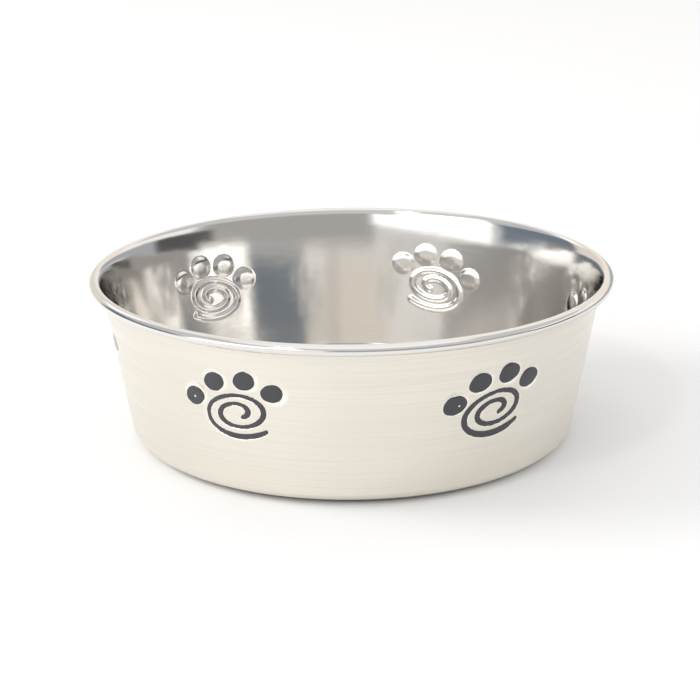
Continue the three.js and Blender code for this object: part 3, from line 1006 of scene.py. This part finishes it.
# Degrees over which a zone of the studio fades at its sides, and at its top and bottom
SIDE_FADE, LEVEL_FADE = 7, 4


def soft_zone(tree, turn, climb, sides, levels, lean=0):
    """One inside a zone of the studio and zero outside, with soft edges. Angles are in degrees.

    The zone's levels are those straight ahead, and they rise with the turn by the lean.
    """
    shift = add(tree, "ShaderNodeMath", {0: turn, 1: lean}, operation="MULTIPLY").outputs[0]
    level = add(tree, "ShaderNodeMath", {0: climb, 1: shift}, operation="SUBTRACT").outputs[0]
    inside = 1.0
    for measured, (low, high), fade in ((turn, sides, SIDE_FADE), (level, levels, LEVEL_FADE)):
        for near, far in ((low - fade / 2, low + fade / 2), (high + fade / 2, high - fade / 2)):
            ramp = {"Value": measured, 1: math.radians(near), 2: math.radians(far)}
            edge = add(tree, "ShaderNodeMapRange", ramp, interpolation_type="SMOOTHSTEP").outputs[0]
            inside = add(tree, "ShaderNodeMath", {0: inside, 1: edge}, operation="MULTIPLY").outputs[0]
    return inside


ROOM_TONE = (0.60, 0.61, 0.62, 1.0)
STUDIO = (
    # What it is, its tone, its turn from the camera's side to the right, its climb above the floor, and
    # any lean. Each one covers those before it.
    ("ceiling", (1.10, 1.10, 1.10), (-200, 200), (62, 100)),
    ("back wall, upper right", (1.08, 1.07, 1.05), (130, 200), (30, 62)),
    ("back wall, upper left", (1.08, 1.07, 1.05), (-200, -165), (30, 62)),
    ("left corner, upper", (1.00, 0.99, 0.97), (-168, -133), (30, 62)),
    ("back wall, lower right", (1.00, 0.94, 0.86), (120, 200), (-20, 30)),
    ("back wall, lower left", (1.00, 0.94, 0.86), (-200, -165), (-20, 30)),
    ("left corner, lower", (0.85, 0.80, 0.74), (-168, -133), (-20, 30)),
    ("front wall, upper", (0.70, 0.70, 0.70), (-22, 78), (30, 62)),
    ("front wall, lower", (0.45, 0.44, 0.43), (-24, 78), (-20, 30)),
    ("right corner, lower", (0.45, 0.47, 0.50), (106, 165), (-20, 13)),
    ("right doorway", (0.09, 0.09, 0.09), (72, 108), (-20, 14)),
    ("right card", (1.20, 1.15, 1.08), (54, 80), (-20, 6)),
    ("right light strip", (1.10, 1.08, 1.05), (84, 142), (15, 29)),
    ("right wall, upper", (0.68, 0.68, 0.67), (78, 142), (30, 62)),
    ("left doorway", (0.19, 0.23, 0.28), (-131, -79), (5, 24)),
    ("left doorway's foot", (0.24, 0.26, 0.28), (-131, -108), (-20, 8)),
    ("left card", (0.85, 0.84, 0.82), (-108, -79), (-20, 4.5)),
    ("wall above the window", (0.75, 0.74, 0.73), (-100, -24), (37, 55)),
    ("wall below the window", (0.73, 0.72, 0.71), (-77, -12), (-20, 12)),
    ("window's glow", (1.60, 1.60, 1.60), (-73, -11), (15.5, 30), 0.16),
    ("window", (2.10, 2.08, 2.03), (-74, -25), (16, 36)),
    ("left light patch", (1.30, 1.30, 1.30), (-154, -133), (24, 38)),
)


def studio_world():
    """The studio round the bowl, by direction: pale all round, with a bright window and dim gaps."""
    world = bpy.data.worlds.new("studio")
    world.use_nodes = True
    tree = world.node_tree
    tree.nodes.clear()
    ray = add(tree, "ShaderNodeTexCoord").outputs["Generated"]
    parts = add(tree, "ShaderNodeSeparateXYZ", {0: ray}).outputs
    front = add(tree, "ShaderNodeMath", {0: parts["Y"], 1: -1.0}, operation="MULTIPLY").outputs[0]
    turn = add(tree, "ShaderNodeMath", {0: parts["X"], 1: front}, operation="ARCTAN2").outputs[0]
    climb = add(tree, "ShaderNodeMath", {0: parts["Z"]}, operation="ARCSINE").outputs[0]
    room = ROOM_TONE
    for zone, tone, *place in STUDIO:
        mixed = {"Factor": soft_zone(tree, turn, climb, *place), 6: room, 7: (*tone, 1.0)}
        room = add(tree, "ShaderNodeMix", mixed, data_type="RGBA", label=zone).outputs[2]
    backdrop = add(tree, "ShaderNodeBackground", {"Color": room, "Strength": 1.0}).outputs[0]
    add(tree, "ShaderNodeOutputWorld", {"Surface": backdrop})
    return world


class PETBOWL_OT_stage(bpy.types.Operator):
    """Sets the camera, the white floor and the soft studio light"""

    bl_idname = "pet_bowl.stage"
    bl_label = "Stage"

    def execute(self, context):
        stage = sizes_of(StageSizes)
        add_camera(stage)
        add_floor(stage)
        for lamp in LAMPS:
            add_lamp(*lamp)
        context.scene.world = studio_world()
        context.scene.view_settings.view_transform = "Standard"
        return {"FINISHED"}


PIECES = (
    PETBOWL_OT_steel_bowl,
    PETBOWL_OT_foot_ring,
    PETBOWL_OT_toe_enamel,
    PETBOWL_OT_spiral_enamel,
    PETBOWL_OT_stage,
)


class PETBOWL_PT_sidebar(bpy.types.Panel):
    """Lists the bowl's sizes and the steps that build it."""

    bl_idname = "PETBOWL_PT_sidebar"
    bl_label = "Pet Bowl"
    bl_space_type = "VIEW_3D"
    bl_region_type = "UI"
    bl_category = "Pet Bowl"

    def draw(self, context):
        for group in SIZE_GROUPS:
            box = self.layout.box()
            box.label(text=group.__name__)
            values = getattr(context.scene, scene_name(group))
            for name in group.__annotations__:
                box.prop(values, name)
        for piece in PIECES:
            self.layout.operator(piece.bl_idname)


CLASSES = (*SIZE_GROUPS, *PIECES, PETBOWL_PT_sidebar)


def register():
    for entry in CLASSES:
        bpy.utils.register_class(entry)
    for group in SIZE_GROUPS:
        setattr(bpy.types.Scene, scene_name(group), bpy.props.PointerProperty(type=group))


def unregister():
    for group in SIZE_GROUPS:
        delattr(bpy.types.Scene, scene_name(group))
    for entry in reversed(CLASSES):
        bpy.utils.unregister_class(entry)


def main():
    register()
    bpy.ops.pet_bowl.steel_bowl()
    bpy.ops.pet_bowl.foot_ring()
    bpy.ops.pet_bowl.toe_enamel()
    bpy.ops.pet_bowl.spiral_enamel()
    bpy.ops.pet_bowl.stage()


if __name__ == "__main__":
    main()
